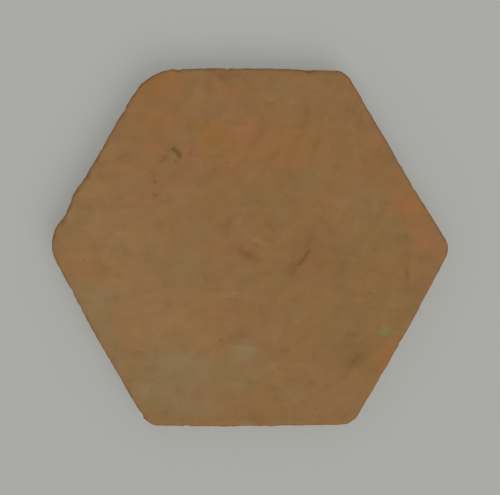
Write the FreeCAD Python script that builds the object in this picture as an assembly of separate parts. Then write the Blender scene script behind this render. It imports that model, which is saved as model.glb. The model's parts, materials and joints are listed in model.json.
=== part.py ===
import FreeCAD, Part
import math
import os
from collections import namedtuple

# A handmade hexagonal terracotta floor tile, lying face up on its flat back.
# Clay is pressed into a six-sided frame, smoothed by hand and fired, so it is one solid.
# Its outline is a hexagon that the hand has moved: each side is turned a little, stands
# in or out a little and bulges or is hollow, and each corner is worn to its own radius.
# The walls lean in under the face, so that neighbours meet at their upper edges only.
# The face is slightly crowned, and rolls over into the walls with a soft edge.
#
# Frame: +Z is up, out of the walking face, and +X runs from corner to corner.
# The origin is on the back, under the middle of the bounding box. All lengths are in mm.

# Driving dimensions of the tile.
ACROSS_FLATS = 200.0
THICKNESS = 20.0
FACE_CROWN = 0.8  # how much higher the middle of the face is than its corners
WALL_LEAN_DEG = 2.5  # the walls go in by this angle towards the back
EDGE_ROLL = 2.8  # radius of the rounded edge between face and walls
BACK_EDGE_RADIUS = 1.0

# How the hand moved each side: its outward direction if the hexagon were true, the turn
# from there, how far its middle stands out (+) or in (-) from the true distance, and how
# far the middle bulges out (+) or is hollowed in (-) from the line between its ends.
Side = namedtuple("Side", "name direction_deg turn_deg stands_out bulge")
SIDES = (
    Side("upper_right", 30.0, 0.7, -2.9, -0.8),
    Side("top", 90.0, -0.5, 1.4, 1.4),
    Side("upper_left", 150.0, 0.1, 0.4, 0.3),
    Side("lower_left", 210.0, -1.0, 0.1, 1.2),
    Side("bottom", 270.0, 0.4, 0.9, 0.8),
    Side("lower_right", 330.0, 0.8, 0.5, 1.4),
)

# The radius of each corner in plan. A corner lies between its side and the next one, so
# the first is the upper right corner, between the sides upper_right and top.
UPPER_RIGHT_CORNER = 9.0
UPPER_LEFT_CORNER = 25.0
LEFT_CORNER = 15.0
LOWER_LEFT_CORNER = 9.0
LOWER_RIGHT_CORNER = 9.0
RIGHT_CORNER = 10.0
CORNER_RADII = (
    UPPER_RIGHT_CORNER,
    UPPER_LEFT_CORNER,
    LEFT_CORNER,
    LOWER_LEFT_CORNER,
    LOWER_RIGHT_CORNER,
    RIGHT_CORNER,
)

# What follows from them.
UP = FreeCAD.Vector(0, 0, 1)
SIDE_LENGTH = ACROSS_FLATS / math.sqrt(3)
ACROSS_CORNERS = 2 * SIDE_LENGTH
FACE_RADIUS = ACROSS_CORNERS**2 / (8 * FACE_CROWN) + FACE_CROWN / 2
BACK_INSET = THICKNESS * math.tan(math.radians(WALL_LEAN_DEG))


def outward(side):
    """The unit vector that the side faces along."""
    angle = math.radians(side.direction_deg + side.turn_deg)
    return FreeCAD.Vector(math.cos(angle), math.sin(angle), 0)


def arc_radius(side):
    """The radius of the wide arc that makes the side, negative where the side is hollow."""
    return SIDE_LENGTH**2 / (8 * side.bulge) + side.bulge / 2


def side_centre(side):
    """The centre of the side's arc, beyond the tile's middle or, for a hollow side, outside."""
    middle_distance = ACROSS_FLATS / 2 + side.stands_out
    return outward(side) * (middle_distance - arc_radius(side))


def corner_centre(side, next_side, corner_radius):
    """The centre of the corner's arc, which is tangent to the arcs of both sides."""
    first, second = side_centre(side), side_centre(next_side)
    first_reach = abs(arc_radius(side) - corner_radius)
    second_reach = abs(arc_radius(next_side) - corner_radius)
    between = second - first
    spacing = between.Length
    along = (first_reach**2 - second_reach**2 + spacing**2) / (2 * spacing)
    foot = first + between * (along / spacing)
    across = UP.cross(between) * (math.sqrt(first_reach**2 - along**2) / spacing)
    return min((foot + across, foot - across), key=lambda point: point.Length)


def on_arc(centre, towards, radius):
    """The point of an arc, of either sign, that lies from its centre towards another point."""
    return centre + (towards - centre).normalize() * abs(radius)


def arc_between(start, end, centre, radius):
    """The short arc between two points of a circle."""
    middle = on_arc(centre, (start + end) * 0.5, radius)
    return Part.Arc(start, middle, end).toShape()


def outline(height, inset):
    """The tile's outline at a height, moved in by the same amount all round."""
    neighbours = SIDES[1:] + SIDES[:1]
    corners = [
        corner_centre(side, next_side, corner_radius)
        for side, next_side, corner_radius in zip(SIDES, neighbours, CORNER_RADII)
    ]
    edges = []
    for index, (side, next_side) in enumerate(zip(SIDES, neighbours)):
        centre, radius = side_centre(side), arc_radius(side) - inset
        next_centre, next_radius = side_centre(next_side), arc_radius(next_side) - inset
        corner = corners[index]
        start = on_arc(centre, corners[index - 1], radius)
        end = on_arc(centre, corner, radius)
        corner_end = on_arc(next_centre, corner, next_radius)
        edges.append(arc_between(start, end, centre, radius))
        edges.append(arc_between(end, corner_end, corner, CORNER_RADII[index] - inset))
    wire = Part.Wire(edges)
    wire.translate(UP * height)
    return wire


def pressed_slab():
    """The clay as it leaves the frame: walls that lean out from the back up to the crowned face."""
    slab = Part.makeLoft([outline(0, BACK_INSET), outline(THICKNESS, 0)], True, True)
    ball_centre = UP * (THICKNESS - FACE_RADIUS)
    ball = Part.makeSphere(FACE_RADIUS, ball_centre, FreeCAD.Vector(1, 0, 0))
    # Half a turn puts the ball's seam underneath, so that the face is one surface.
    ball.rotate(ball_centre, FreeCAD.Vector(1, 0, 0), 180)
    return slab.common(ball).Solids[0]


def face_edges(solid):
    """The edges where the crowned face meets the walls."""
    return [edge for edge in solid.Edges if edge.BoundBox.ZMin > THICKNESS / 2]


def back_edges(solid):
    """The edges where the flat back meets the walls."""
    return [edge for edge in solid.Edges if edge.BoundBox.ZMax < BACK_EDGE_RADIUS / 2]


def terracotta_tile():
    """The finished tile, moved so that the origin is on its back, under its middle."""
    tile = pressed_slab()
    tile = tile.makeFillet(EDGE_ROLL, face_edges(tile))
    tile = tile.makeFillet(BACK_EDGE_RADIUS, back_edges(tile))
    box = tile.optimalBoundingBox()
    tile.translate(FreeCAD.Vector(-box.Center.x, -box.Center.y, -box.ZMin))
    return tile


os.makedirs("parts", exist_ok=True)
finished = terracotta_tile()
finished.exportStep("parts/terracotta_tile.step")

size = finished.optimalBoundingBox()
print(f"terracotta_tile: {size.XLength:.2f} x {size.YLength:.2f} x {size.ZLength:.2f} mm")
print(f"volume {finished.Volume:.0f} mm3, {len(finished.Faces)} faces, valid {finished.isValid()}")
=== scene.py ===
# %% [markdown]
# # A handmade hexagonal terracotta floor tile
#
# The real tile is one lump of wet clay. It was pressed into a six-sided frame, struck off level,
# wiped smooth with a wet hand, dried and fired. This lesson makes it in the same order: a slab is
# cut to six sides, its corners and edges are rounded, its face is crowned, and then hands, sand and
# the kiln leave their marks on it.
#
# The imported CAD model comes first. It fixes the size and the place of the tile, and everything that
# is modelled here stays inside its box.

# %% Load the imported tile
import json
import math
from collections import namedtuple

import bpy
import numpy as np
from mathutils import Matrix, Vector

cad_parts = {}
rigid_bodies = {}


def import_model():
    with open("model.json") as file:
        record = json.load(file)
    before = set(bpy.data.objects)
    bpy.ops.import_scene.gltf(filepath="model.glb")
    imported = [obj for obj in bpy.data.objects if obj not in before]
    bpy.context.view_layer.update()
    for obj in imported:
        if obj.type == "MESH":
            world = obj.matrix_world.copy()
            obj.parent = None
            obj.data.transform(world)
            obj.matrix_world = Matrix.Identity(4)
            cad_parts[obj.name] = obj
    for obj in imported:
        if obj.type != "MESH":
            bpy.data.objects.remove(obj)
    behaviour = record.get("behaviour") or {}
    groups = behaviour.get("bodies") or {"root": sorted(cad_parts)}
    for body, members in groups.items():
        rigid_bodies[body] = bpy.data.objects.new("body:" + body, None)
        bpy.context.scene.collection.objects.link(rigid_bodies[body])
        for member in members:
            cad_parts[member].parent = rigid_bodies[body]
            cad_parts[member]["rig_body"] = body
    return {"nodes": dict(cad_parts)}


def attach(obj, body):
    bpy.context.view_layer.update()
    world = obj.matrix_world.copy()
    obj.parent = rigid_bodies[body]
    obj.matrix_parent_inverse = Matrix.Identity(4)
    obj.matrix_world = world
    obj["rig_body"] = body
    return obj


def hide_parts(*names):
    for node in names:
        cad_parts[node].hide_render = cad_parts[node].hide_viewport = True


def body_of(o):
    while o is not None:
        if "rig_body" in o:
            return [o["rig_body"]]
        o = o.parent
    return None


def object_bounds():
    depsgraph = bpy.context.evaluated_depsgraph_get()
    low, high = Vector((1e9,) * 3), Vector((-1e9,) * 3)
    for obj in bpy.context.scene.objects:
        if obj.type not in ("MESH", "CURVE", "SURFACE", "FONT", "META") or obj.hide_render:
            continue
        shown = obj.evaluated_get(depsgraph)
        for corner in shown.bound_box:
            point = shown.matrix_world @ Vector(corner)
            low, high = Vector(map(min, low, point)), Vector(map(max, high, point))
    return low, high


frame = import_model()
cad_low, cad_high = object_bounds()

MM = 0.001
THICKNESS = cad_high.z
print("CAD nodes:", sorted(frame["nodes"]))
print("CAD box in mm:", [round(length / MM, 1) for length in cad_high - cad_low])

# %% [markdown]
# ## The sizes of the tile
#
# A handmade tile is a hexagon that the hand has moved. Each side is turned a little from its true
# direction, stands out or in, and bulges or is hollow, and each corner is worn to a radius of its
# own. These are the CAD model's driving dimensions. The slab could be a copy of the CAD triangles,
# but they are long and thin. Cut anew from these sizes it gets a clean mesh, which the later steps
# need.

# %% Driving dimensions
ACROSS_FLATS = 200 * MM
FACE_CROWN = 0.8 * MM
WALL_LEAN = math.radians(2.5)
EDGE_ROLL = 2.8 * MM
BACK_EDGE = 1.0 * MM

SIDE_LENGTH = ACROSS_FLATS / math.sqrt(3)
UP = Vector((0, 0, 1))

# Where the side faces in degrees, how far its middle stands out, how far it bulges from the line
# between its ends, and the radius of the corner after it.
Side = namedtuple("Side", "name direction stands_out bulge corner_radius")
SIDES = (
    Side("upper_right", 30.7, -2.9 * MM, -0.8 * MM, 9 * MM),
    Side("top", 89.5, 1.4 * MM, 1.4 * MM, 25 * MM),
    Side("upper_left", 150.1, 0.4 * MM, 0.3 * MM, 15 * MM),
    Side("lower_left", 209.0, 0.1 * MM, 1.2 * MM, 9 * MM),
    Side("bottom", 270.4, 0.9 * MM, 0.8 * MM, 9 * MM),
    Side("lower_right", 330.8, 0.5 * MM, 1.4 * MM, 10 * MM),
)


def towards(degrees):
    """The unit vector in the floor's plane at an angle from +X."""
    angle = math.radians(degrees)
    return Vector((math.cos(angle), math.sin(angle), 0))


print("length of a side:", round(SIDE_LENGTH / MM, 1), "mm")

# %% [markdown]
# ## A block of clay
#
# The lump of clay starts as a cube that is scaled to a wide block. It is a little lower than the
# tile, because the crown of the face comes later. Applying the scale writes it into the mesh, so
# that the tools that follow work in true sizes.

# %% Block
slab_height = THICKNESS - FACE_CROWN
block_size = Vector((1.5 * ACROSS_FLATS, 1.5 * ACROSS_FLATS, slab_height))
bpy.ops.object.select_all(action="DESELECT")
bpy.ops.mesh.primitive_cube_add(size=1, location=UP * slab_height / 2, scale=block_size)
tile = bpy.context.object
tile.name = "pressed_tile"
bpy.ops.object.transform_apply(location=True, rotation=True, scale=True)
print("block in mm:", [round(length / MM, 1) for length in tile.dimensions])

# %% [markdown]
# ## Cut the six sides
#
# A wire cuts clay in a plane, and bisect does the same to a mesh: it throws away what is outside of
# the plane and fills the cut. The walls of the real tile lean in towards the back, so that
# neighbours meet at their upper edges, and the cutting planes are tilted for that. Each plane goes
# through the ends of its side, and the bulge comes later.

# %% Six leaning walls
bpy.ops.object.mode_set(mode="EDIT")
for side in SIDES:
    outward = towards(side.direction)
    chord_distance = ACROSS_FLATS / 2 + side.stands_out - side.bulge
    bpy.ops.mesh.select_all(action="SELECT")
    bpy.ops.mesh.bisect(
        plane_co=outward * chord_distance + UP * slab_height,
        plane_no=outward * math.cos(WALL_LEAN) - UP * math.sin(WALL_LEAN),
        clear_outer=True,
        use_fill=True,
    )
bpy.ops.object.mode_set(mode="OBJECT")
print("slab faces:", len(tile.data.polygons))

# %% [markdown]
# ## Round the corners
#
# A corner of wet clay never stays sharp, and each of these has worn to its own radius. A modifier
# would bevel all of them alike, so the bevel tool rounds them one by one. The edge of a corner is
# found by its place: it stands upright, and lies in the direction half way between two sides.


# %% Bevel the upright edges
def bevel_edges(wanted, width, segments):
    """Rounds the edges of the tile for which wanted(one end, other end) is true."""
    mesh = tile.data
    for polygon in mesh.polygons:
        polygon.select = False
    for vertex in mesh.vertices:
        vertex.select = False
    for edge in mesh.edges:
        first, second = (mesh.vertices[index].co for index in edge.vertices)
        edge.select = wanted(first, second)
    found = sum(edge.select for edge in mesh.edges)
    bpy.ops.object.mode_set(mode="EDIT")
    bpy.ops.mesh.select_mode(type="EDGE")
    bpy.ops.mesh.bevel(offset=width, offset_type="OFFSET", segments=segments, profile=0.5)
    bpy.ops.object.mode_set(mode="OBJECT")
    return found


def upright_in(direction):
    """A test for the upright edge that lies in a direction."""

    def wanted(first, second):
        upright = abs(first.z - second.z) > slab_height / 2
        return upright and ((first + second) / 2).normalized().dot(direction) > 0.99

    return wanted


for side, next_side in zip(SIDES, SIDES[1:] + SIDES[:1]):
    turn = (next_side.direction - side.direction) % 360
    corner = towards(side.direction + turn / 2)
    tangent_length = side.corner_radius * math.tan(math.radians(turn / 2))
    found = bevel_edges(upright_in(corner), tangent_length, segments=8)
    print("corner after", side.name, "has edges:", found)

# %% [markdown]
# ## Roll the edges
#
# The wet hand rolled the edge of the face over, and that soft round edge catches the light all
# around the tile. The edge of the back was only broken. Both are bevels too. The bevel tool wants
# the distance from the edge to where the round begins, so each radius is turned into that distance
# with the angle at which wall and face meet.

# %% Bevel the rim and the back edge
roll_width = EDGE_ROLL * math.tan((math.pi / 2 + WALL_LEAN) / 2)
back_width = BACK_EDGE * math.tan((math.pi / 2 - WALL_LEAN) / 2)
HAIR = 0.01 * MM  # heights that differ by less count as equal
bevel_edges(lambda first, second: min(first.z, second.z) > slab_height - HAIR, roll_width, segments=8)
bevel_edges(lambda first, second: max(first.z, second.z) < HAIR, back_width, segments=4)
print("rounded slab faces:", len(tile.data.polygons))

# %% [markdown]
# ## Make it clay
#
# So far the tile has a few hundred large faces, and nothing small can be pressed into it.
# Subdividing them would make thin slivers at the corners. A voxel remesh wraps the slab in an even
# net of small squares instead. Each one can be moved by itself, as each crumb of clay can, so this
# net is what hands, sand and tools work on from here.

# %% Remesh
CLAY_GRAIN = 0.8 * MM
remesh = tile.modifiers.new("clay", "REMESH")
remesh.mode = "VOXEL"
remesh.voxel_size = CLAY_GRAIN
bpy.ops.object.modifier_apply(modifier=remesh.name)
bpy.ops.object.shade_smooth()
print("clay faces:", len(tile.data.polygons))

# %% [markdown]
# ## Pull with a soft hand
#
# Clay that is pulled at one point follows around it, less and less with the distance. A proportional
# move does just that. The points to move are chosen by their place, and points that must stay are
# hidden first, because a hidden point isn't moved.


# %% Proportional moves
def points():
    """The places of all the tile's points, one row each."""
    places = np.empty(len(tile.data.vertices) * 3)
    tile.data.vertices.foreach_get("co", places)
    return places.reshape(-1, 3)


def select_points(chosen, hidden=None):
    """Selects the points that are true in a mask, and hides those of another mask."""
    mesh = tile.data
    mesh.polygons.foreach_set("select", np.zeros(len(mesh.polygons), bool))
    mesh.edges.foreach_set("select", np.zeros(len(mesh.edges), bool))
    mesh.vertices.foreach_set("select", chosen)
    if hidden is not None:
        mesh.vertices.foreach_set("hide", hidden)


def pull(move, reach, falloff):
    """Moves the selected points, and those within reach by less, and shows all points again."""
    bpy.ops.object.mode_set(mode="EDIT")
    bpy.ops.mesh.select_mode(type="VERT")
    bpy.ops.transform.translate(
        value=move,
        use_proportional_edit=True,
        proportional_edit_falloff=falloff,
        proportional_size=reach,
    )
    bpy.ops.mesh.reveal(select=False)
    bpy.ops.object.mode_set(mode="OBJECT")


# %% [markdown]
# ## Crown the face
#
# The face of the tile is a little higher in the middle, where the clay had no frame to shrink
# against. The middle point is pulled up and the whole face follows. The inverse square falloff
# gives an exact parabola, which at this size is the same as a wide arc. The lower half is hidden, so
# that the back stays flat.

# %% Crown
places = points()
under_face = places[:, 2] < THICKNESS / 2
off_centre = np.where(under_face, np.inf, np.hypot(places[:, 0], places[:, 1]))
select_points(off_centre == off_centre.min(), hidden=under_face)
pull(UP * FACE_CROWN, reach=SIDE_LENGTH, falloff="INVERSE_SQUARE")
print("height with the crown:", round(points()[:, 2].max() / MM, 2), "mm")

# %% [markdown]
# ## Bend the sides
#
# The sides of the real tile aren't straight: five of them bulge by up to a millimetre and a half,
# and one is hollow. The same parabola does it. The upright row of points in the middle of a wall is
# pulled outwards, or pushed in, and its ends stay where they were cut.

# %% Bulges and a hollow
for side in SIDES:
    outward = towards(side.direction)
    places = points()
    beside_middle = np.abs(places @ UP.cross(outward))
    wall_distance = ACROSS_FLATS / 2 + side.stands_out - side.bulge - 2 * EDGE_ROLL
    in_wall = places @ outward > wall_distance
    select_points(in_wall & (beside_middle < CLAY_GRAIN / 2))
    pull(outward * side.bulge, reach=SIDE_LENGTH / 2, falloff="INVERSE_SQUARE")
    print(side.name, "moved by", round(side.bulge / MM, 1), "mm")

# %% [markdown]
# ## Set it down
#
# The CAD model has its origin on the back, under the middle of its box. The pulls have moved the
# middle a little, so the tile is set down over the origin again. It is moved in edit mode, because
# the object itself stays at the origin, unturned and unscaled.


# %% Centre the tile on the floor
def set_down():
    """Moves the tile so that it rests on the floor with the middle of its box over the origin."""
    low, high = points().min(axis=0), points().max(axis=0)
    bpy.ops.object.mode_set(mode="EDIT")
    bpy.ops.mesh.select_all(action="SELECT")
    bpy.ops.transform.translate(value=(-(low[0] + high[0]) / 2, -(low[1] + high[1]) / 2, -low[2]))
    bpy.ops.object.mode_set(mode="OBJECT")
    print("clay box in mm:", ((high - low) / MM).round(2))


set_down()

# %% [markdown]
# ## The marks of the face
#
# A nail or a straw nicked the wet face, a thumb smudged it and grit left pits. Painted spots would
# stay flat from every side, so these marks are pressed into the mesh, and painted shade is laid into
# their hollows afterwards. They are written down as they lie on the tile, in millimetres from its
# middle. A mark with one point is a dent, and a negative depth is clay that was pushed up.

# %% Face marks
# The points along the mark, its width and depth, and how dark the painted shade in it is, from 0 to 1.
Mark = namedtuple("Mark", "name line width depth darkness")
FACE_MARKS = (
    Mark("curled_nick", ((-43.0, 55.4), (-41.4, 54.8), (-40.0, 53.0), (-39.4, 50.8)), 2.8, 0.8, 0.4),
    Mark("nick_foot", ((-41.6, 48.4),), 2.2, 0.4, 0.24),
    Mark("nick_lip", ((-39.6, 57.0), (-38.0, 54.4)), 1.8, -0.25, 0),
    Mark("nick_smear", ((-50.0, 48.4), (-46.2, 51.4)), 3.4, 0.3, 0.26),
    Mark("nick_tail", ((-46.8, 54.8), (-45.0, 53.4)), 2.8, 0.2, 0.14),
    Mark("nick_crumb", ((-33.6, 51.8), (-32.2, 56.4)), 2.6, 0.2, 0.12),
    Mark("pit_trail", ((-57.0, 44.6), (-53.4, 41.0)), 4.0, 0.2, 0.06),
    Mark("upper_pit", ((-53.6, 37.2),), 3.4, 0.45, 0.16),
    Mark("lower_pit", ((-53.4, 29.6),), 3.6, 0.5, 0.2),
    Mark("thumb_smudge", ((-6.0, -1.0), (-2.2, -2.8)), 5.6, 0.35, 0.18),
    Mark("thumb_smudge_end", ((-1.0, -3.6), (1.6, -4.6), (4.2, -6.2)), 6.0, 0.4, 0.18),
    Mark("smudge_lip", ((-1.0, 6.4), (6.6, 3.0)), 2.6, -0.15, 0),
    Mark("smudge_fold", ((-1.4, 3.2), (4.4, 1.4)), 2.6, 0.2, 0.06),
    Mark("light_fleck", ((-6.6, 15.4),), 3.6, -0.15, 0),
    Mark("dull_dent", ((-12.8, 17.4), (-12.4, 10.4)), 4.4, 0.25, 0.12),
    Mark("scratch_start", ((35.0, 7.0), (33.0, 3.8), (30.8, 0.4)), 5.0, 0.3, 0.14),
    Mark("scratch", ((32.6, -1.6), (30.4, -4.8), (28.0, -8.6)), 3.4, 0.7, 0.24),
    Mark("scratch_lip", ((35.2, -3.0), (32.4, -7.4)), 1.8, -0.2, 0),
    Mark("scratch_tail", ((26.6, -9.2), (22.6, -10.6)), 4.2, 0.35, 0.2),
    Mark("scratch_fade", ((24.6, -12.2), (21.4, -15.4)), 5.6, 0.2, 0.15),
    Mark("straw_mark", ((62.0, -59.4), (58.6, -61.8), (55.2, -67.0)), 4.4, 0.3, 0.2),
    Mark("straw_mark_side", ((57.0, -60.0), (57.4, -63.4)), 3.4, 0.2, 0.08),
    Mark("side_drag", ((87.6, -9.4), (88.0, -18.6)), 2.6, 0.2, 0.26),
    Mark("top_smudge", ((-18.6, 96.6), (-12.4, 94.4)), 4.0, 0.25, 0.22),
    Mark("top_rub", ((1.0, 90.0), (5.4, 88.6)), 3.6, 0.2, 0.04),
)
print("marks on the face:", len(FACE_MARKS))

# %% [markdown]
# ## The knocks on the rim
#
# Tiles are stacked, dragged and dropped, and it is always the rim that suffers. One corner has a
# step where a flake came off, beside a nick. A knock has a place on the tile, a reach, and how far
# the clay was pushed in there. A negative knock is a lump that was pushed out.

# %% Rim knocks
Knock = namedtuple("Knock", "name place reach depth")
RIM_KNOCKS = (
    Knock("side_nick", (-102.3, 20.8, 18.0), 3.6, 0.5),
    Knock("nick_step", (-105.0, 17.2, 16.8), 4.2, 2.1),
    Knock("lump_under_step", (-107.6, 10.6, 15.0), 6.0, -0.7),
    Knock("lump_over_nick", (-97.5, 30.0, 15.0), 9.0, -1.2),
    Knock("side_notch", (-90.4, 40.2, 18.0), 3.4, 0.7),
    Knock("top_notch", (-40.6, 100.4, 18.5), 3.6, 1.0),
    Knock("top_chip", (33.6, 101.0, 19.0), 4.2, 0.9),
    Knock("worn_top_corner", (-52.0, 96.0, 18.0), 8.0, 0.3),
)
print("knocks on the rim:", len(RIM_KNOCKS))

# %% [markdown]
# ## Finer clay under the marks
#
# A mark that is narrower than a few squares of the net would come out blunt. So the squares are
# divided where small marks will be pressed, and only there, because a fine net all over would make
# the model heavy for nothing.

# %% Divide the squares near the marks
# How far apart the places along a mark lie, in millimetres, and how far the fine net reaches.
STEP_ALONG_MARK = 0.9
FINE_REACH = 2.6 * MM


def along(line):
    """Places close together along a mark."""
    ends = np.array(line)
    places = [ends[-1]]
    for start, end in zip(ends, ends[1:]):
        steps = max(1, round(float(np.linalg.norm(end - start)) / STEP_ALONG_MARK))
        places += [start + (end - start) * step / steps for step in range(steps)]
    return places


mark_places = np.array([place for mark in FACE_MARKS for place in along(mark.line)]) * MM
places = points()
on_face = places[:, 2] > THICKNESS / 2
gaps = np.linalg.norm(places[:, None, :2] - mark_places[None, :, :], axis=2).min(axis=1)
select_points(on_face & (gaps < FINE_REACH))
bpy.ops.object.mode_set(mode="EDIT")
bpy.ops.mesh.select_mode(type="VERT")
bpy.ops.mesh.subdivide(number_cuts=1)
bpy.ops.object.mode_set(mode="OBJECT")
print("clay faces, finer near the marks:", len(tile.data.polygons))

# %% [markdown]
# ## Where the hand, the frame and the sand touched
#
# The face was wiped, the walls slid along the frame, the rim between them was knocked, and the back
# lay on sanded boards, so each has a surface of its own. A vertex group holds how much each point
# belongs to a surface. The weights come from the way the clay faces, and fade from one surface to
# the next, because a sudden border would show as a row of teeth.


# %% Vertex groups for face, rim, walls and back
def smooth_step(value, low, high):
    """0 up to low, 1 from high on, and smooth between them. High may be the lower one."""
    share = np.clip((value - low) / (high - low), 0, 1)
    return share * share * (3 - 2 * share)


normals = np.empty(len(tile.data.vertices) * 3)
tile.data.vertices.foreach_get("normal", normals)
upward = normals.reshape(-1, 3)[:, 2]
SURFACES = {
    "face": smooth_step(upward, 0.3, 0.95),
    "rim": smooth_step(upward, 0.05, 0.4) * smooth_step(upward, 0.995, 0.85),
    "walls": smooth_step(np.abs(upward), 0.9, 0.3),
    "back": smooth_step(upward, -0.6, -0.98),
}
for surface, weights in SURFACES.items():
    group = tile.vertex_groups.new(name=surface)
    for index in np.flatnonzero(weights).tolist():
        group.add((index,), weights[index], "REPLACE")
    print(surface, "points:", np.count_nonzero(weights))

# %% [markdown]
# ## Follow the swing of the arm
#
# The hand that wiped the face swung about an elbow beyond the upper left corner, so its strokes are
# wide arcs. A texture can't bend by itself, but it can be read through a UV map. This map is the
# face seen from the elbow: one way runs along the swing and the other runs outwards. Where the map
# is even, the tile gets curved strokes.

# %% A map of arcs about the elbow
ELBOW = Vector((-105, 125, 0)) * MM
ARM = 190 * MM
STROKE_LENGTH = 45 * MM
STROKE_WIDTH = 5 * MM

from_elbow = points()[:, :2] - np.array(ELBOW.xy)
angles = np.arctan2(from_elbow[:, 1], from_elbow[:, 0])
reaches = np.hypot(from_elbow[:, 0], from_elbow[:, 1])
on_map = np.column_stack((angles * ARM / STROKE_LENGTH, reaches / STROKE_WIDTH))
swing_map = tile.data.uv_layers.new(name="swing")
corner_points = np.empty(len(tile.data.loops), int)
tile.data.loops.foreach_get("vertex_index", corner_points)
swing_map.data.foreach_set("uv", on_map[corner_points].ravel())
print("reach of the arm in mm:", round(reaches.min() / MM), "to", round(reaches.max() / MM))

# %% [markdown]
# ## Textures that push
#
# A Displace modifier moves points along their normals by a procedural texture, in or out from the
# texture's middle grey. Three settings shape the texture first. A colour ramp can keep the darkest
# spots and turn all else white, which leaves only scattered hollows. To turn a round pattern into
# straight strokes, it is read in the space of an empty that is long one way. And to bend the
# strokes, it is read through the map of the swing.


# %% Displace with procedural textures
def press_texture(name, surface, kind, grain, depth, middle=0.5, strokes=None, hollows=None):
    """Displaces one surface by a texture.

    Strokes are a UV map's name, or lengths and a turn. Hollows are two greys of the texture: that
    of their floor, and that of their rim.
    """
    texture = bpy.data.textures.new(name, kind)
    texture.noise_scale = grain
    if hollows:
        texture.use_color_ramp = True
        floor_stop, rim_stop = texture.color_ramp.elements
        floor_stop.position, rim_stop.position = hollows
        floor_stop.color = (0, 0, 0, 1)
        rim_stop.color = (1, 1, 1, 1)
    displace = tile.modifiers.new(name, "DISPLACE")
    displace.texture = texture
    displace.vertex_group = surface
    displace.mid_level = middle
    displace.strength = depth
    displace.texture_coords = "LOCAL"
    stretched_space = None
    if isinstance(strokes, str):
        displace.texture_coords = "UV"
        displace.uv_layer = strokes
    elif strokes:
        lengths, turn = strokes
        bpy.ops.object.empty_add(rotation=(0, 0, math.radians(turn)))
        stretched_space = bpy.context.object
        stretched_space.scale = lengths
        bpy.context.view_layer.update()
        displace.texture_coords = "OBJECT"
        displace.texture_coords_object = stretched_space
    bpy.context.view_layer.objects.active = tile
    bpy.ops.object.modifier_apply(modifier=name)
    if stretched_space:
        bpy.data.objects.remove(stretched_space)
    print(name, "done, box in mm:", (np.ptp(points(), axis=0) / MM).round(2))


# %% [markdown]
# ## The wiped face
#
# The hand left the face gently wavy, with faint arcs from wiping and faint straight lines from the
# board that struck off the clay. Sand in the clay makes it slightly rough, and here and there a
# grain fell out and left a pinhole. All of it only goes inwards or stays within the crown, so that
# the tile never outgrows its box.

# %% Face relief
# The board that struck off the clay was held this many degrees off square.
BOARD_TURN = -6
STRUCK_OFF = ((40 * MM, 3.5 * MM, 30 * MM), BOARD_TURN)
# A map is read from -1 to 1, so one stroke of the map is two units of the texture.
ONE_STROKE = 2.0
press_texture("hand_waves", "face", "CLOUDS", 26 * MM, depth=0.5 * MM, middle=0.85)
press_texture("wiping_strokes", "face", "CLOUDS", ONE_STROKE, depth=0.2 * MM, strokes=swing_map.name)
press_texture("strike_off_lines", "face", "CLOUDS", 1.0, depth=0.12 * MM, strokes=STRUCK_OFF)
press_texture("sandy_face", "face", "STUCCI", 2.6 * MM, depth=0.14 * MM, middle=1.0)
press_texture("pinholes", "face", "CLOUDS", 3 * MM, depth=0.6 * MM, middle=1.0, hollows=(0.08, 0.2))
tile.data.uv_layers.remove(tile.data.uv_layers["swing"])

# %% [markdown]
# ## The rough walls and the knocked rim
#
# The walls slid out of the frame while the clay was soft. That dragged level streaks along them and
# tore small hollows open, and nobody wiped them afterwards. The rim above them is softly dented all
# around, from years of handling.

# %% Wall and rim relief
DRAGGED = ((26 * MM, 26 * MM, 2.6 * MM), 0)
press_texture("wavy_walls", "walls", "CLOUDS", 20 * MM, depth=0.8 * MM, middle=0.7)
press_texture("frame_drag", "walls", "CLOUDS", 1.0, depth=0.5 * MM, middle=0.7, strokes=DRAGGED)
press_texture("rough_walls", "walls", "STUCCI", 3.2 * MM, depth=0.4 * MM, middle=1.0)
press_texture("torn_clay", "walls", "CLOUDS", 6 * MM, depth=1.2 * MM, middle=1.0, hollows=(0.2, 0.33))
press_texture("knocked_rim", "rim", "CLOUDS", 5 * MM, depth=0.7 * MM, middle=1.0, hollows=(0.12, 0.5))

# %% [markdown]
# ## The sanded back
#
# The tile dried on a board that was strewn with sand, so that it wouldn't stick. The board was
# never quite flat, and each grain of sand left a dent. Nobody sees the back of a laid tile, but the
# mortar holds on to just this roughness.

# %% Back relief
press_texture("board_waves", "back", "CLOUDS", 30 * MM, depth=0.5 * MM, middle=1.0)
press_texture("sanded_back", "back", "STUCCI", 3.6 * MM, depth=0.4 * MM, middle=1.0)

# %% [markdown]
# ## Press the marks
#
# Now each mark of the list is pressed in, like a stick into clay. The points nearest to its line
# are chosen together and moved down, and what lies within half the width of the line follows, less
# and less, so the hollow has soft sides.

# %% Press the face marks
for mark in FACE_MARKS:
    places = points()
    under_face = places[:, 2] < THICKNESS / 2
    chosen = np.zeros(len(places), bool)
    for place in along(mark.line):
        gaps = np.linalg.norm(places[:, :2] - place * MM, axis=1)
        chosen[np.where(under_face, np.inf, gaps).argmin()] = True
    select_points(chosen)
    pull(UP * -mark.depth * MM, reach=mark.width / 2 * MM, falloff="SMOOTH")
    print(mark.name, "points pushed:", int(chosen.sum()))

# %% [markdown]
# ## Knock the rim
#
# A knock starts from the one point of the clay that is nearest to its place. The push goes level
# towards the middle of the tile, so it shows in the outline, as the chips of the real tile do.

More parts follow.
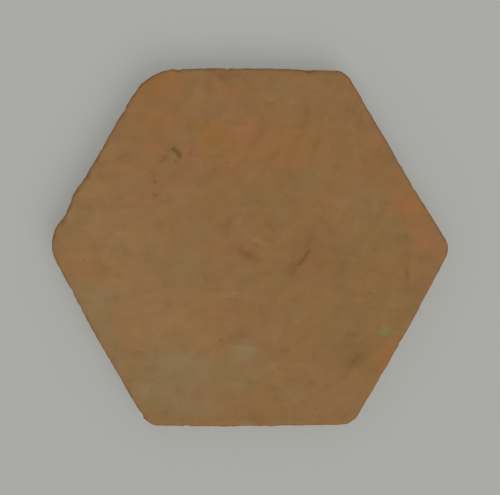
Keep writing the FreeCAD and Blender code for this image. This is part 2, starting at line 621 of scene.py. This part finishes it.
# %% Knock the rim
for knock in RIM_KNOCKS:
    places = points()
    gaps = np.linalg.norm(places - np.array(knock.place) * MM, axis=1)
    select_points(gaps == gaps.min())
    inwards = -Vector((knock.place[0], knock.place[1], 0)).normalized()
    pull(inwards * knock.depth * MM, reach=knock.reach * MM, falloff="SMOOTH")
    print(knock.name, "pushed, its nearest point was off by", round(gaps.min() / MM, 2), "mm")

# %% [markdown]
# ## Thin out the back
#
# The back shows little, so it doesn't need a net as fine as the face. Decimate merges its squares
# where they are flattest and keeps the dents of the sand. Then the tile is set down once more,
# because it now rests on what stands out between those dents.

# %% Decimate the back
SHARE_KEPT = 0.71
decimate = tile.modifiers.new("thin_back", "DECIMATE")
decimate.vertex_group = "back"
decimate.ratio = SHARE_KEPT
bpy.ops.object.modifier_apply(modifier=decimate.name)
set_down()
tile.data.calc_loop_triangles()
print("triangles:", len(tile.data.loop_triangles))

# %% [markdown]
# ## Shader maths as plain maths
#
# Fired clay has no picture that could be wrapped around it here. Its colours are worked out for
# each place from noise and distances, by a net of shader nodes. Such a net reads best as plain
# maths. This small class wraps the output of a node, so that an expression such as 1 - mask adds
# the Math nodes that it needs. Every other node comes from one method, which takes the kind of
# node, its settings and the values or links of its sockets.


# %% Fields
class Field:
    """A value that varies over the surface: one output of a shader node."""

    def __init__(self, socket):
        self.socket = socket

    def node(self, kind, settings, sockets, output=0):
        """Adds a node: its settings first, then the values or links of its sockets."""
        tree = self.socket.id_data
        made = tree.nodes.new(kind)
        for name, value in settings.items():
            setattr(made, name, value)
        for name, value in sockets.items():
            if isinstance(value, Field):
                value.feed(made.inputs[name])
            else:
                made.inputs[name].default_value = value
        return Field(made.outputs[output])

    def feed(self, socket):
        """Links this output to a socket of another node."""
        socket.id_data.links.new(self.socket, socket)

    def math(self, operation, first, second):
        """Adds a Math node for two values, and at least one of them is a field."""
        return self.node("ShaderNodeMath", {"operation": operation}, {0: first, 1: second})

    def vector(self, operation, other=(0, 0, 0), output=0):
        """Adds a Vector Math node for this vector and another one."""
        return self.node("ShaderNodeVectorMath", {"operation": operation}, {0: self, 1: other}, output)

    def __add__(self, other):
        return self.math("ADD", self, other)

    def __radd__(self, other):
        return self.math("ADD", other, self)

    def __sub__(self, other):
        return self.math("SUBTRACT", self, other)

    def __rsub__(self, other):
        return self.math("SUBTRACT", other, self)

    def __mul__(self, other):
        return self.math("MULTIPLY", self, other)

    def __rmul__(self, other):
        return self.math("MULTIPLY", other, self)

    def least(self, other):
        """The smaller one of two values."""
        return self.math("MINIMUM", self, other)

    def other(self, output):
        """Another output of the same node."""
        return Field(self.socket.node.outputs[output])


# %% [markdown]
# ## The tones of the clay
#
# The body is a yellow brown that drifts to olive and to pink, as the clay and the air in the kiln
# did. Colours are written as a screen shows them, from 0 to 255, because that is how they are
# judged, and are turned into the share of light that they reflect, because that is what a shader
# wants.


# %% Tones
def fired(red, green, blue):
    """The reflected light of a screen colour."""
    parts = (red / 255, green / 255, blue / 255)
    return tuple(((part + 0.055) / 1.055) ** 2.4 for part in parts) + (1.0,)


CLAY_BODY = fired(133, 98, 58)
OLIVE = fired(130, 99, 58)
PINK = fired(139, 99, 66)
RUDDY = fired(148, 95, 62)
FLUSH = fired(148, 95, 47)
AMBER = fired(138, 96, 44)
BLOOM = fired(131, 109, 74)
LICHEN = fired(119, 115, 70)
PALE = fired(139, 106, 67)
RAW_EDGE = fired(147, 97, 55)
DUST = fired(158, 132, 96)
# The dark brown of the painted shade in the hollows of the marks.
HOLLOW_SHADE = fired(94, 58, 8)
DARK = fired(66, 45, 33)
print("light that the clay body reflects:", [round(part, 3) for part in CLAY_BODY[:3]])

# %% [markdown]
# ## Start the material
#
# The finish is worked out from Object coordinates, which are the place on the tile in metres. They
# stay with the tile whatever the camera does, and need no unwrapping. Everything cloudy in it is
# noise. Read straight, noise looks like noise. Read at a place that has itself been moved by noise,
# its patches get ragged borders, as stains in clay have, so there is a helper for a drifted place.
# Large patches drift broadly, small ones finely, and the painted shade in the marks gets crumbled
# borders.

# %% Material and places
material = bpy.data.materials.new("fired_clay")
material.use_nodes = True
shader = material.node_tree.nodes["Principled BSDF"]
place = Field(material.node_tree.nodes.new("ShaderNodeTexCoord").outputs["Object"])
elsewhere = place.vector("ADD", (3, 1, 2))
further = place.vector("ADD", (7, 5, 1))


def noise(position, size, detail=2.0, output=0):
    """Cloudy noise around 0.5, with features of about that size."""
    sockets = {"Vector": position, "Scale": 1 / size, "Detail": detail}
    return position.node("ShaderNodeTexNoise", {}, sockets, output)


def drifted(position, grain, reach):
    """The position, moved this way and that by up to about a third of the reach."""
    drift = noise(position, grain, detail=3, output="Color").vector("SUBTRACT", (0.5, 0.5, 0.5))
    return drift.vector("MULTIPLY", (reach, reach, reach)).vector("ADD", position)


broad_drift = drifted(place, 14 * MM, 12 * MM)
fine_drift = drifted(place, 2.5 * MM, 3 * MM)
crumbled = drifted(fine_drift, 1 * MM, 1 * MM)
print("nodes so far:", len(material.node_tree.nodes))

# %% [markdown]
# ## Broad clouds
#
# Clay is never mixed through. Across the tile the body drifts to olive, pink, orange and grey, in
# clouds as wide as two fingers. Each cloud is noise that a ramp turns into a soft mask, and the mask
# tints the colour so far. Different offsets of the place keep the clouds apart.


# %% Clouds
def ramp(value, low, high):
    """A soft mask: 0 up to low, 1 from high on."""
    sockets = {"Value": value, "From Min": low, "From Max": high}
    return value.node("ShaderNodeMapRange", {"interpolation_type": "SMOOTHSTEP"}, sockets)


def tint(colour, mask, tone):
    """The colour where the mask is 0, and the tone where it is 1."""
    sockets = {"Factor": mask, "A": colour, "B": tone}
    return mask.node("ShaderNodeMix", {"data_type": "RGBA"}, sockets, "Result")


colour = tint(CLAY_BODY, ramp(noise(place, 40 * MM, detail=3), 0.42, 0.68) * 0.7, OLIVE)
colour = tint(colour, ramp(noise(elsewhere, 34 * MM, detail=3), 0.45, 0.7) * 0.5, PINK)
colour = tint(colour, ramp(noise(further, 18 * MM, detail=3), 0.5, 0.8) * 0.3, FLUSH)
colour = tint(colour, ramp(noise(elsewhere, 15 * MM, detail=3), 0.52, 0.8) * 0.4, BLOOM)
print("nodes so far:", len(material.node_tree.nodes))

# %% [markdown]
# ## Patches at their places
#
# Some patches can be named: the orange flush where the flame licked, the grey bloom of salts that
# the water left, pale rubs, dull tones, and painted shade in the notch of a step and along the top
# edge. A patch is an ellipse with a soft border in a drifted space. Large ones use the broad drift
# and small ones the fine drift, so that each border is ragged at its own scale. Lengths are in
# millimetres from the middle of the tile.

# %% Patches
# Tone, middle, half length and half width, turn in degrees, strength from 0 to 1.
Patch = namedtuple("Patch", "tone middle half_size turn strength")
PATCHES = (
    # Wide shades
    Patch(PALE, (-72, -8), (46, 80), 20, 0.7),
    Patch(PALE, (-42, -50), (50, 30), -20, 0.5),
    Patch(PALE, (-14, -26), (22, 8), 0, 0.4),
    Patch(PALE, (-40, 27), (14, 9), 0, 0.4),
    Patch(PALE, (-30, 84), (14, 8), 0, 0.5),
    Patch(OLIVE, (-38, -6), (28, 14), 0, 0.6),
    Patch(OLIVE, (-40, -15), (18, 10), 0, 0.7),
    Patch(OLIVE, (-14, 9), (9, 12), 0, 0.6),
    Patch(OLIVE, (8, 28), (32, 16), 0, 0.5),
    Patch(OLIVE, (-13, 53), (9, 6), 0, 0.5),
    Patch(OLIVE, (48, -24), (42, 34), 0, 0.5),
    Patch(OLIVE, (70, -54), (12, 20), -30, 0.5),
    Patch(OLIVE, (55, -55), (13, 9), 0, 0.9),
    Patch(OLIVE, (68, -36), (14, 10), 0, 0.6),
    Patch(PINK, (-57, 35), (22, 28), 0, 0.5),
    Patch(PINK, (39.6, -83), (22, 16), 0, 0.35),
    Patch(PINK, (40, -67), (16, 12), 0, 0.5),
    # Flush where the flame licked
    Patch(FLUSH, (11, 56), (46, 21), 0, 0.4),
    Patch(FLUSH, (-46, 70), (15, 22), -25, 0.25),
    Patch(FLUSH, (-50, 92), (20, 11), 20, 0.5),
    Patch(AMBER, (-25, 65), (9, 14), 0, 0.7),
    Patch(AMBER, (-19, 62), (10, 6), 0, 0.5),
    Patch(FLUSH, (-54, 55), (7, 6), 0, 0.35),
    Patch(FLUSH, (-60, 44), (9, 6), 0, 0.35),
    Patch(FLUSH, (-89, -12), (16, 16), 0, 0.25),
    Patch(FLUSH, (88, 22), (10, 24), 30, 0.45),
    Patch(FLUSH, (-18.6, -33.5), (17, 9), 0, 0.15),
    Patch(FLUSH, (76, -61), (8, 12), -30, 0.5),
    Patch(AMBER, (40, -9), (9, 5), 0, 0.5),
    Patch(RUDDY, (0, 63), (14, 8), 0, 0.3),
    Patch(RUDDY, (-33, 53.5), (4, 5.5), 0, 0.7),
    Patch(RUDDY, (36, -13), (12, 4.5), 0, 0.3),
    Patch(RUDDY, (88, 22), (8, 7), 30, 0.3),
    Patch(RUDDY, (99, 3), (9, 10), 0, 0.6),
    # Bloom of salts
    Patch(BLOOM, (-83, -46), (44, 8), 119, 0.5),
    Patch(BLOOM, (-84, -28), (10, 12), 0, 0.6),
    Patch(BLOOM, (-56, -82), (13, 12), 0, 0.6),
    Patch(BLOOM, (-8, -72), (26, 13), 0, 0.45),
    Patch(BLOOM, (-36, -88), (24, 9), 0, 0.65),
    Patch(BLOOM, (14, -72), (14, 8), 0, 0.15),
    Patch(BLOOM, (-43, -70), (23, 19), 0, 0.7),
    Patch(BLOOM, (60, 26), (12, 15), 0, 0.3),
    Patch(BLOOM, (-34, -9), (18, 13), 0, 0.35),
    Patch(BLOOM, (-28, -72), (12, 9), 0, 0.4),
    Patch(BLOOM, (-3, -59), (10, 8), 0, 0.9),
    Patch(BLOOM, (-34, -62.4), (14, 4), 0, 1.0),
    Patch(LICHEN, (75.7, -46.7), (5, 4), 20, 0.8),
    # Pale rubs
    Patch(PALE, (-13, -26.5), (20, 2.4), 4, 0.8),
    Patch(PALE, (-50, -34.4), (11, 2.6), 0, 0.7),
    Patch(PALE, (59, 55), (2.5, 8), 10, 0.5),
    Patch(PALE, (69.7, 24), (2.5, 9), 0, 0.7),
    Patch(PALE, (51.5, 25.8), (6, 2.5), 0, 0.6),
    Patch(PALE, (-6.6, 15.4), (3.4, 3.4), 0, 0.7),
    Patch(PALE, (3.0, 4.8), (7, 2.6), -24, 1.0),
    Patch(PALE, (20.5, -6.8), (3, 2), 0, 0.7),
    Patch(PALE, (12, 83.5), (5, 3), 0, 0.9),
    Patch(PALE, (22.5, 81), (4, 2.5), 0, 0.5),
    # Dull tones, and painted shade in the notch of the step and along the top edge
    Patch(DARK, (39, -3), (22, 18), 0, 0.1),
    Patch(DARK, (58, -60), (20, 14), 30, 0.14),
    Patch(DARK, (20, 40), (14, 9), 0, 0.06),
    # Painted shade in the notch of the step on the left.
    Patch(DARK, (-104.4, 13.8), (3.4, 2.4), 35, 0.25),
    # The next two: painted shade along the top edge, which faces away from the window light.
    Patch(DARK, (-10, 97), (14, 2.5), 0, 0.14),
    Patch(DARK, (34, 97.5), (9, 2.5), 0, 0.14),
)
SMALL_PATCH = 5
print("patches:", len(PATCHES))

# %% [markdown]
# ## Draw the patches
#
# A Mapping node measures a position from the middle of the patch, along its turned axes and in its
# own half lengths, so its border is where that position is one long. The length is all that the
# mask needs. An image would do the same, but this stays sharp at any distance and can be edited as
# words and numbers.


# %% Patch masks
def mapped(position, middle, turn, lengths):
    """The position measured from a middle, along turned axes, in those lengths."""
    turned = (0, 0, math.radians(turn))
    sockets = {"Vector": position, "Location": middle, "Rotation": turned, "Scale": lengths}
    return position.node("ShaderNodeMapping", {"vector_type": "TEXTURE"}, sockets)


def steps_away(middle, half_size, turn, space):
    """How far a place is from a patch's middle, where 1 is its border."""
    lengths = (half_size[0] * MM, half_size[1] * MM, 1)
    from_middle = mapped(space, (middle[0] * MM, middle[1] * MM, 0), turn, lengths)
    return from_middle.vector("LENGTH", output="Value")


for patch in PATCHES:
    space = broad_drift if min(patch.half_size) > SMALL_PATCH else fine_drift
    away = steps_away(patch.middle, patch.half_size, patch.turn, space)
    colour = tint(colour, (1 - ramp(away, 0.1, 1.2)) * patch.strength, patch.tone)
print("nodes so far:", len(material.node_tree.nodes))

# %% [markdown]
# ## Raw rim and walls, dusty back
#
# The rim and the walls were never wiped, so the raw, redder clay shows there. How far a point is
# from the rim is plain geometry: the least of its distances to the six sides. Some noise is added
# to it, because a wiping hand doesn't stop along a line. The walls and the back are found by height,
# and the back keeps some pale sand of the board.


# %% Rim, walls and back
RIM_WIDTH = 4.5 * MM


def axis(position, name):
    """One axis of a position: X, Y or Z."""
    return position.node("ShaderNodeSeparateXYZ", {}, {"Vector": position}, name)


side_distances = []
for side in SIDES:
    along_side = place.vector("DOT_PRODUCT", towards(side.direction), "Value")
    side_distances.append(ACROSS_FLATS / 2 + side.stands_out - along_side)
from_rim = side_distances[0]
for distance in side_distances[1:]:
    from_rim = from_rim.least(distance)
ragged = (noise(elsewhere, 9 * MM, detail=3) - 0.5) * (7 * MM)
rim = 1 - ramp(from_rim + ragged, 0, RIM_WIDTH)
height = axis(place, "Z")
wall = 1 - ramp(height, THICKNESS - 5 * MM, THICKNESS - 2 * MM)
back = 1 - ramp(height, 0.2 * MM, 1.5 * MM)
dusty = ramp(noise(elsewhere, 8 * MM, detail=4), 0.35, 0.65)
colour = tint(colour, rim * 0.25, RAW_EDGE)
colour = tint(colour, wall * 0.7, RAW_EDGE)
colour = tint(colour, back * dusty * 0.5, DUST)
print("nodes so far:", len(material.node_tree.nodes))

# %% [markdown]
# ## Painted shade in the marks
#
# Every mark that was pressed in gets painted shade in its hollow, with a dark core and a soft halo
# around it. Each stretch of a mark's line is a narrow patch at the same place as the hollow in the
# mesh, and the least of their distances belongs to the whole line. Two ramps of that one distance
# draw the core and the halo. Clay that was pushed up gets no painted shade.

# %% Painted shade in the marks
for mark in FACE_MARKS:
    if not mark.darkness:
        continue
    stretches = []
    for start, end in zip(mark.line, mark.line[1:] or mark.line):
        middle = ((start[0] + end[0]) / 2, (start[1] + end[1]) / 2)
        run, rise = end[0] - start[0], end[1] - start[1]
        half_size = (math.hypot(run, rise) / 2 + mark.width * 0.5, mark.width * 0.6)
        stretches.append(steps_away(middle, half_size, math.degrees(math.atan2(rise, run)), crumbled))
    away = stretches[0]
    for stretch in stretches[1:]:
        away = away.least(stretch)
    core = 1 - ramp(away, 0.1, 1.1)
    halo = 1 - ramp(away, 0.5, 2.4)
    # Painted shade in the hollow of the mark: a dark core and a softer halo.
    colour = tint(colour, (core + halo * 0.4) * mark.darkness, HOLLOW_SHADE)
print("nodes so far:", len(material.node_tree.nodes))

# %% [markdown]
# ## Grit in the clay
#
# Crushed brick and burnt-out straw were mixed into the clay against cracking, and show as pale and
# dark specks. A Voronoi pattern gives each speck a cell of its own. The distance to the middle of
# the cell draws the speck, and the random colour of the cell decides whether it is there at all.

# %% Grit
GRIT_SPACING = 3.2 * MM
grit_sockets = {"Vector": fine_drift, "Scale": 1 / GRIT_SPACING}
from_speck = place.node("ShaderNodeTexVoronoi", {}, grit_sockets, "Distance")
pick = axis(from_speck.other("Color"), "X")
speck = 1 - ramp(from_speck, 0.08, 0.2)
pore = speck * ramp(pick, 0.9, 0.94)
pale_grain = speck * (1 - ramp(pick, 0.1, 0.14))
colour = tint(colour, pore * 0.2, DARK)
colour = tint(colour, pale_grain * 0.22, DUST)
print("nodes so far:", len(material.node_tree.nodes))

# %% [markdown]
# ## Strokes, smears and sand
#
# The marks of the making are also seen as light and dark, because wet clay gathers in the hollows.
# The wiping strokes bend about the same elbow as the relief does: the angle and the reach seen from
# the elbow are joined to a new position, and noise on it comes out as arcs. The struck-off lines and
# the drag of the frame are noise that is drawn out one way. All of them only scale the colour up or
# down by a few percent.

# %% Light and dark
seen_from_elbow = place.vector("SUBTRACT", ELBOW)
swing_angle = place.math("ARCTAN2", axis(seen_from_elbow, "Y"), axis(seen_from_elbow, "X"))
swing_reach = seen_from_elbow.vector("LENGTH", output="Value")
swing_sockets = {"X": swing_angle * (ARM / STROKE_LENGTH), "Y": swing_reach * (1 / STROKE_WIDTH)}
swing = place.node("ShaderNodeCombineXYZ", {}, swing_sockets)
struck_space = mapped(further, (0, 0, 0), BOARD_TURN, (36 * MM, 3 * MM, 20 * MM))
dragged_space = mapped(place, (0, 0, 0), 0, (24 * MM, 24 * MM, 2.2 * MM))
wiped = (noise(swing, 1, detail=3) - 0.5) * (1 - wall)
struck_off = (noise(struck_space, 1) - 0.5) * ramp(noise(further, 45 * MM, detail=1), 0.4, 0.6)
dragged = (noise(dragged_space, 1, detail=3) - 0.5) * wall
smears = noise(broad_drift, 9 * MM, detail=4)
sand = noise(place, 0.9 * MM)
dull_smears = 1 - ramp(smears, 0.3, 0.42)
shade = 1 + wiped * 0.15 + struck_off * 0.16 + dragged * 0.4
shade = shade + (smears - 0.5) * 0.34 - dull_smears * 0.04 + (sand - 0.5) * 0.15
colour = colour.vector("MULTIPLY", shade)
colour.feed(shader.inputs["Base Color"])
print("nodes so far:", len(material.node_tree.nodes))

# %% [markdown]
# ## A dry, grainy surface
#
# Unglazed clay is dull and a little uneven in its dullness, so the roughness follows the smears. Its
# grain is finer than the net of the mesh, so the finest part is a Bump node: sand, pores and the
# pale grains that stand up. What is the same all over, such as the weak mirror of dry clay, is set
# on the shader's own socket.

# %% Roughness and bump
roughness = 0.86 + (smears - 0.5) * 0.2
roughness.feed(shader.inputs["Roughness"])
shader.inputs["Specular IOR Level"].default_value = 0.3
relief = sand * 0.7 + noise(place, 2.2 * MM, detail=3) * 0.8 - pore * 1.2 + pale_grain * 0.4
relief = relief + (1 + wall) * noise(place, 0.5 * MM, detail=1) * 0.4
bump = place.node("ShaderNodeBump", {}, {"Height": relief, "Strength": 0.8, "Distance": 0.15 * MM})
bump.feed(shader.inputs["Normal"])
tile.data.materials.clear()
tile.data.materials.append(material)
print("nodes in the finish:", len(material.node_tree.nodes))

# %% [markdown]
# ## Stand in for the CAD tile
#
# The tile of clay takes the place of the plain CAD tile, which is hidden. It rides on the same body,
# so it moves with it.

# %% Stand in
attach(tile, "root")
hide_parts("terracotta_tile")
print("rides on:", body_of(tile))

# %% [markdown]
# ## A plain floor
#
# The tile lies on its back on a plain pale floor, which catches its shadow. The floor is wide, so
# that its edge is out of sight also in a view from the side. It is stage and not a piece of the
# object.

# %% Floor
FLOOR_TONE = fired(170, 171, 167)
FLOOR_WIDTH = 8
bpy.ops.object.select_all(action="DESELECT")
bpy.ops.mesh.primitive_plane_add(size=FLOOR_WIDTH)
floor = bpy.context.object
floor.name = "floor"
floor_finish = bpy.data.materials.new("pale_floor")
floor_finish.use_nodes = True
floor_shader = floor_finish.node_tree.nodes["Principled BSDF"]
floor_shader.inputs["Base Color"].default_value = FLOOR_TONE
floor_shader.inputs["Roughness"].default_value = 0.9
floor_shader.inputs["Specular IOR Level"].default_value = 0.1
floor.data.materials.append(floor_finish)
print("floor:", round(floor.dimensions.x), "m wide")

# %% [markdown]
# ## Two lamps
#
# Most of the light comes from above, so that colours show about as they were written. A second,
# softer light comes in aslant from a window at the lower right, and lets the relief and the rolled
# rim show.
# Suns are used because their light doesn't fall off, so each one's share of the light on the floor
# is plain arithmetic. The sky gives the rest.


# %% Lamps
def sun(name, direction, softness, share):
    """A distant lamp that gives a level floor its share of the light."""
    direction = Vector(direction).normalized()
    bpy.ops.object.light_add(type="SUN", rotation=direction.to_track_quat("Z", "Y").to_euler())
    lamp = bpy.context.object
    lamp.name = name
    lamp.data.angle = math.radians(softness)
    lamp.data.energy = math.pi * share / direction.z
    print(name, "energy:", round(lamp.data.energy, 2))


sun("overhead", (0.05, -0.10, 1), softness=12, share=0.49)
sun("window", (0.47, -0.79, 1), softness=45, share=0.17)

# %% [markdown]
# ## The sky and the backdrop
#
# The rest of the light comes from all around and softens the shadows. What the camera sees behind
# the floor is another matter: there the world has the tone of the floor, so that no horizon shows.
# A Light Path node tells the two apart. Mirror and glass rays see the backdrop as well.

# %% Sky
SKY_SHARE = 0.34
BACKDROP_TONE = fired(172, 173, 169)
world = bpy.data.worlds.new("studio")
world.use_nodes = True
bpy.context.scene.world = world
rays = Field(world.node_tree.nodes.new("ShaderNodeLightPath").outputs["Is Camera Ray"])
looking = rays + rays.other("Is Glossy Ray") + rays.other("Is Transmission Ray")
sky_sockets = {"Factor": looking, "A": (SKY_SHARE, SKY_SHARE, SKY_SHARE, 1), "B": BACKDROP_TONE}
sky = looking.node("ShaderNodeMix", {"data_type": "RGBA"}, sky_sockets, "Result")
sky.feed(world.node_tree.nodes["Background"].inputs["Color"])
print("sky share:", SKY_SHARE)

# %% [markdown]
# ## The camera
#
# The camera looks straight down, as one looks at a floor, and the tile fills most of the picture. A
# long lens keeps the walls out of sight. The Standard view shows colours as they are.

# %% Camera
CAMERA_HEIGHT = 0.68
LONG_LENS = 85
bpy.ops.object.camera_add(location=UP * CAMERA_HEIGHT, rotation=(0, 0, 0))
camera = bpy.context.object
camera.data.lens = LONG_LENS
bpy.context.scene.camera = camera
bpy.context.scene.view_settings.view_transform = "Standard"
print("camera height:", camera.location.z, "m")

# %% [markdown]
# ## The CAD box
#
# Last, the corners of the CAD tile's box are printed. The finished tile has to be inside it.

# %% Write the sizes
print("CAD box in mm:   ", [round(value / MM, 2) for corner in (cad_low, cad_high) for value in corner])
